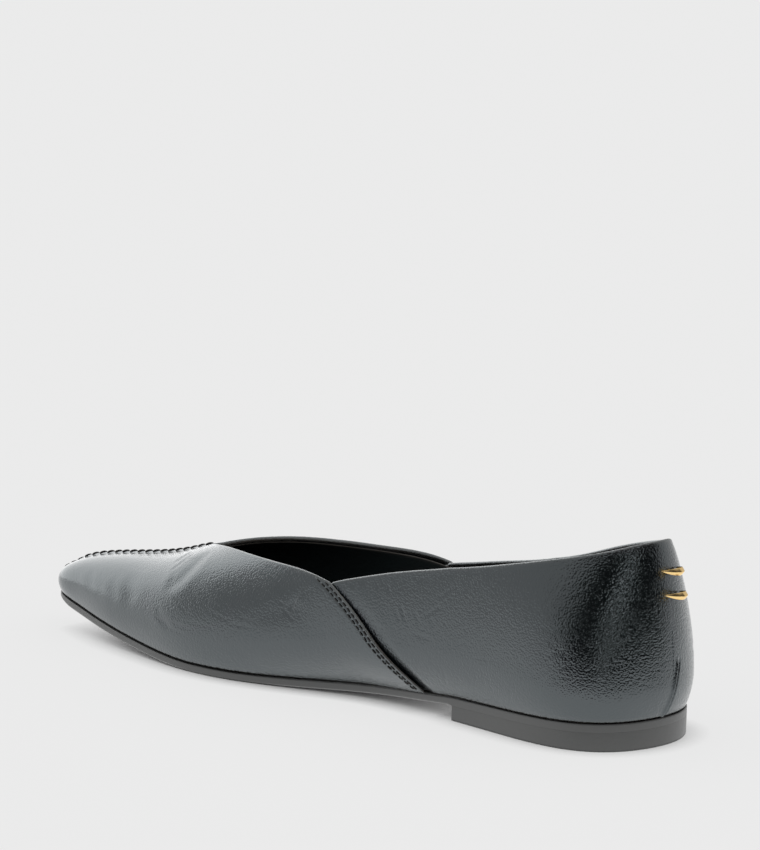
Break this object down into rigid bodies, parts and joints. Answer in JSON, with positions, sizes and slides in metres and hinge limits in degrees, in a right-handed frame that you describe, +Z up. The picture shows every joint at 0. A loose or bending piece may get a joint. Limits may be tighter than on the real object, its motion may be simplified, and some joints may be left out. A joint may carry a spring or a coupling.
{
  "type": "pointed toe flat shoe",
  "caption": "Right foot flat shoe with a pointed toe, lapped vamp with a raised middle seam, low heel and gold back staples.",
  "frame": {"origin": "on the floor, under the middle of the shoe's box", "axes": "+X towards the toe, +Y towards the inner side of the foot, +Z up"},
  "size_m": [0.268, 0.074, 0.0671],
  "materials": {
    "black_leather": "glossy smooth black leather with fine creases",
    "outsole_black": "matte black sole with a smooth edge",
    "heel_black": "matte black heel",
    "lining_black": "soft black lining leather",
    "gold_metal": "polished gold coloured metal"
  },
  "bodies": {
    "root": {"upper": "black_leather", "outsole": "outsole_black", "heel_lift": "heel_black", "insole": "lining_black", "staple_upper": "gold_metal", "staple_lower": "gold_metal"}
  },
  "joints": []
}
